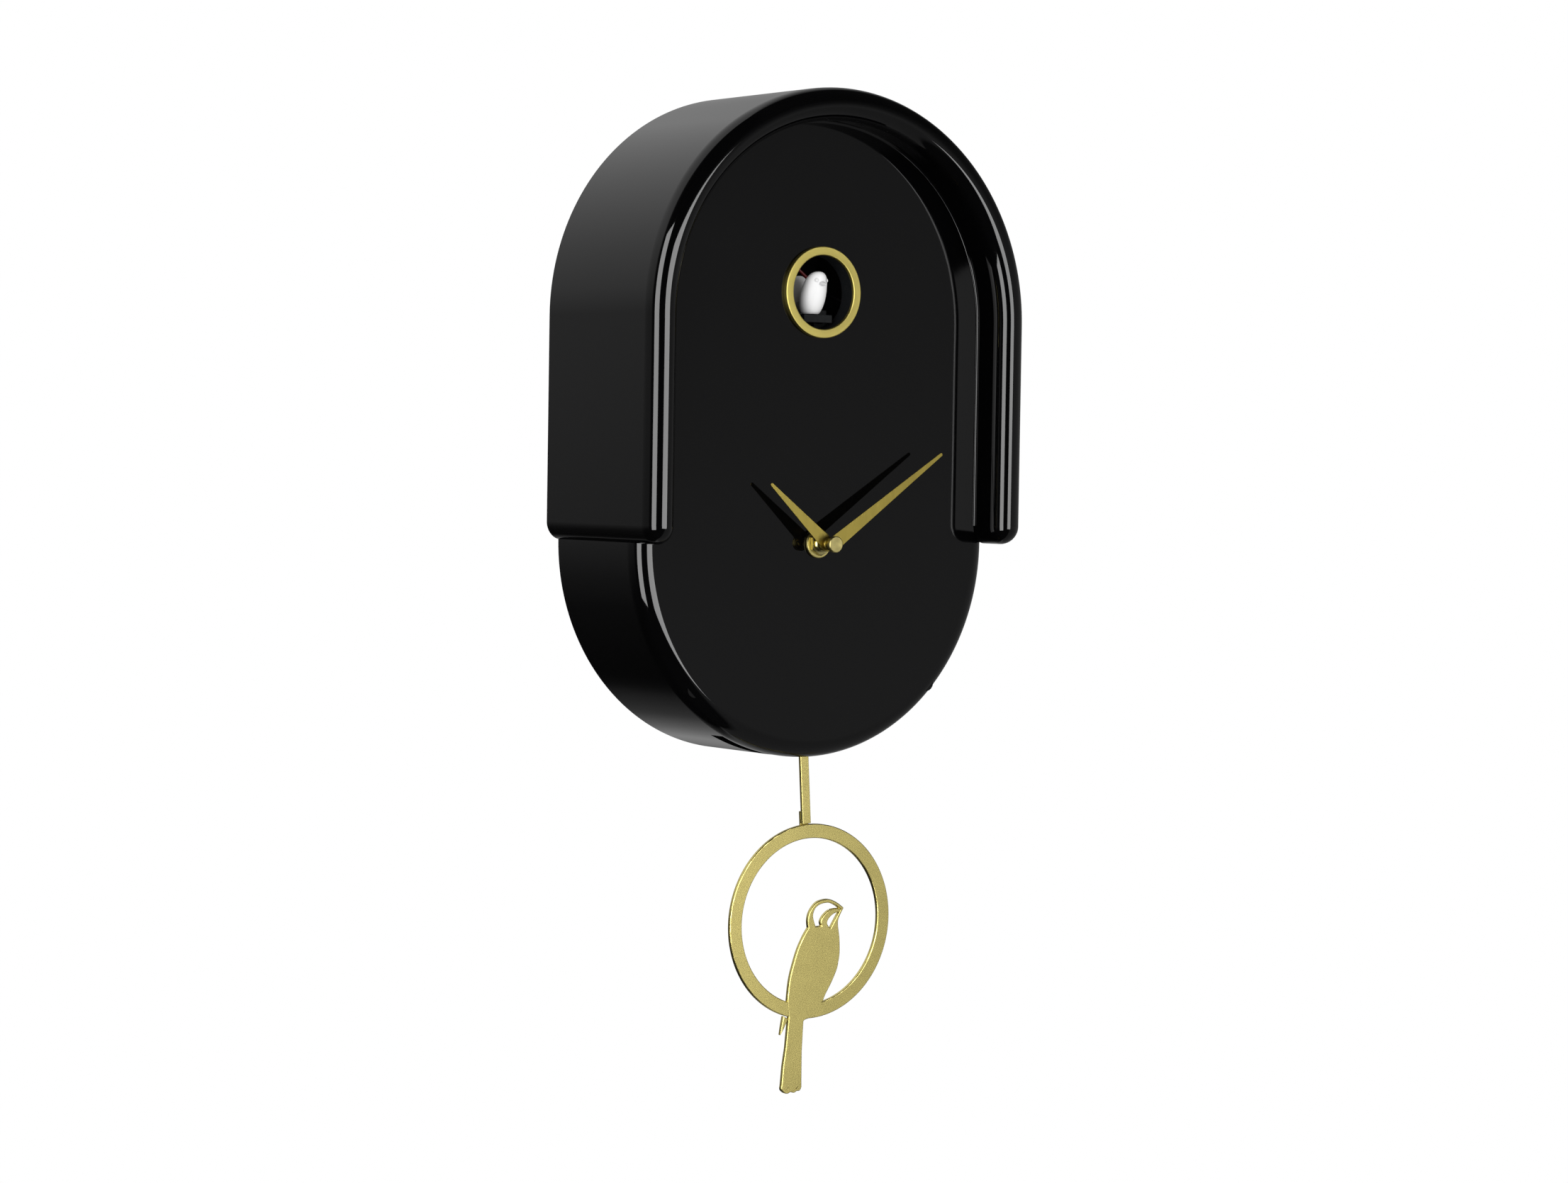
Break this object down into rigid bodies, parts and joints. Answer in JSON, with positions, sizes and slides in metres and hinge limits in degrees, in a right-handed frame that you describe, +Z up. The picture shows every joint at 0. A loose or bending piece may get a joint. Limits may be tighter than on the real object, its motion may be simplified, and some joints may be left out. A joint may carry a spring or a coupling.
{
  "type": "pendulum wall clock",
  "caption": "Gloss black capsule wall clock under an arched hood, with a bird that slides out of a round window, brass hands and a gold ring pendulum.",
  "frame": {"origin": "centre of the case's upper arc, on the flat outer face of the back cover, which is the wall plane", "axes": "+Z up, +Y into the wall, -Y towards the room, +X to the right as seen from the room"},
  "size_m": [0.216, 0.09, 0.4761],
  "materials": {
    "gloss_case": "moulded black, polished to a near mirror",
    "matt_case": "moulded black, fine spark texture",
    "gold_plate": "pale gold plate, satin on flat faces and bright on edges",
    "hub_brass": "turned brass with fine lathe lines",
    "zinc_steel": "zinc plated",
    "bird_paint": "white with small painted eyes and beak",
    "gear_plastic": "natural acetal",
    "cell_sleeve": "printed sleeve with no marks",
    "coil_copper": "lacquered copper winding",
    "board_green": "solder mask",
    "speaker_basket": "pressed basket and dark magnet",
    "wire_red": "insulated wire",
    "wire_black": "insulated wire"
  },
  "bodies": {
    "case": {"case_body": "gloss_case", "hood": "gloss_case", "back_cover": "matt_case", "hanger_plate": "zinc_steel", "battery_tray": "matt_case", "speaker": "speaker_basket", "circuit_board": "board_green", "bird_bezel": "gold_plate", "bird_frame": "matt_case", "bird_motor": "zinc_steel", "movement_case": "matt_case", "movement_back": "matt_case", "threaded_bush": "hub_brass", "dial_washer": "hub_brass", "hex_nut": "hub_brass", "stepper_coil": "coil_copper", "movement_cell": "cell_sleeve", "pendulum_bracket": "matt_case", "pivot_pin": "zinc_steel", "drive_coil": "coil_copper", "battery_wire_red": "wire_red", "battery_wire_black": "wire_black", "motor_wire_red": "wire_red", "speaker_wire": "wire_black", "cover_screw_1": "zinc_steel", "cover_screw_2": "zinc_steel", "cover_screw_3": "zinc_steel", "cover_screw_4": "zinc_steel", "cover_screw_5": "zinc_steel", "cover_screw_6": "zinc_steel", "hood_screw_1": "zinc_steel", "hood_screw_2": "zinc_steel", "hood_screw_3": "zinc_steel", "hood_screw_4": "zinc_steel", "battery_cell_1": "cell_sleeve", "battery_cell_2": "cell_sleeve", "battery_cell_3": "cell_sleeve", "cell_contact_1": "zinc_steel", "cell_contact_2": "zinc_steel", "cell_contact_3": "zinc_steel", "bird_frame_screw_1": "zinc_steel", "bird_frame_screw_2": "zinc_steel"},
    "battery_door": {"battery_door": "matt_case"},
    "volume_knob": {"volume_knob": "matt_case"},
    "bird_carriage": {"bird": "bird_paint", "bird_tray": "matt_case"},
    "bird_pinion": {"bird_pinion": "gear_plastic"},
    "minute_group": {"minute_arbor": "hub_brass", "minute_hand": "gold_plate", "cap_nut": "hub_brass"},
    "hour_group": {"hour_wheel": "hub_brass", "hour_hand": "gold_plate"},
    "motion_group": {"motion_wheel": "gear_plastic", "set_knob": "matt_case"},
    "third_group": {"third_wheel": "gear_plastic"},
    "pendulum": {"pendulum_lever": "matt_case", "lever_magnet": "zinc_steel", "pendulum_rod": "gold_plate", "pendulum_ring": "gold_plate"}
  },
  "joints": [
    {"name": "battery_door_lift", "type": "slide", "parent": "case", "child": "battery_door", "axis": [0, 1, 0], "range_m": [0, 0.03]},
    {"name": "volume_slide", "type": "slide", "parent": "case", "child": "volume_knob", "axis": [1, 0, 0], "range_m": [-0.003, 0.003]},
    {"name": "bird_slide", "type": "slide", "parent": "case", "child": "bird_carriage", "axis": [0, -1, 0], "range_m": [0, 0.012]},
    {"name": "bird_pinion_turn", "type": "hinge", "parent": "case", "child": "bird_pinion", "pos_m": [0, -0.047, -0.0082], "axis": [1, 0, 0], "range_deg": [-1, 116]},
    {"name": "minute_turn", "type": "hinge", "parent": "case", "child": "minute_group", "pos_m": [0, -0.068, -0.1053], "axis": [0, 1, 0], "continuous": true},
    {"name": "hour_turn", "type": "hinge", "parent": "case", "child": "hour_group", "pos_m": [0, -0.068, -0.1053], "axis": [0, 1, 0], "continuous": true},
    {"name": "motion_turn", "type": "hinge", "parent": "case", "child": "motion_group", "pos_m": [-0.009, -0.06, -0.1053], "axis": [0, 1, 0], "continuous": true},
    {"name": "third_turn", "type": "hinge", "parent": "case", "child": "third_group", "pos_m": [0.0088, -0.058, -0.1053], "axis": [0, 1, 0], "continuous": true},
    {"name": "pendulum_swing", "type": "hinge", "parent": "case", "child": "pendulum", "pos_m": [0, -0.05455, -0.15], "axis": [0, -1, 0], "range_deg": [-11.6, 4.4]}
  ],
  "couplings": [
    {"joint": "bird_pinion_turn", "follows": "bird_slide", "rad_per_m": 166.67},
    {"joint": "hour_turn", "follows": "minute_turn", "ratio": 0.083333},
    {"joint": "motion_turn", "follows": "minute_turn", "ratio": -0.33333},
    {"joint": "third_turn", "follows": "minute_turn", "ratio": -4.5}
  ]
}
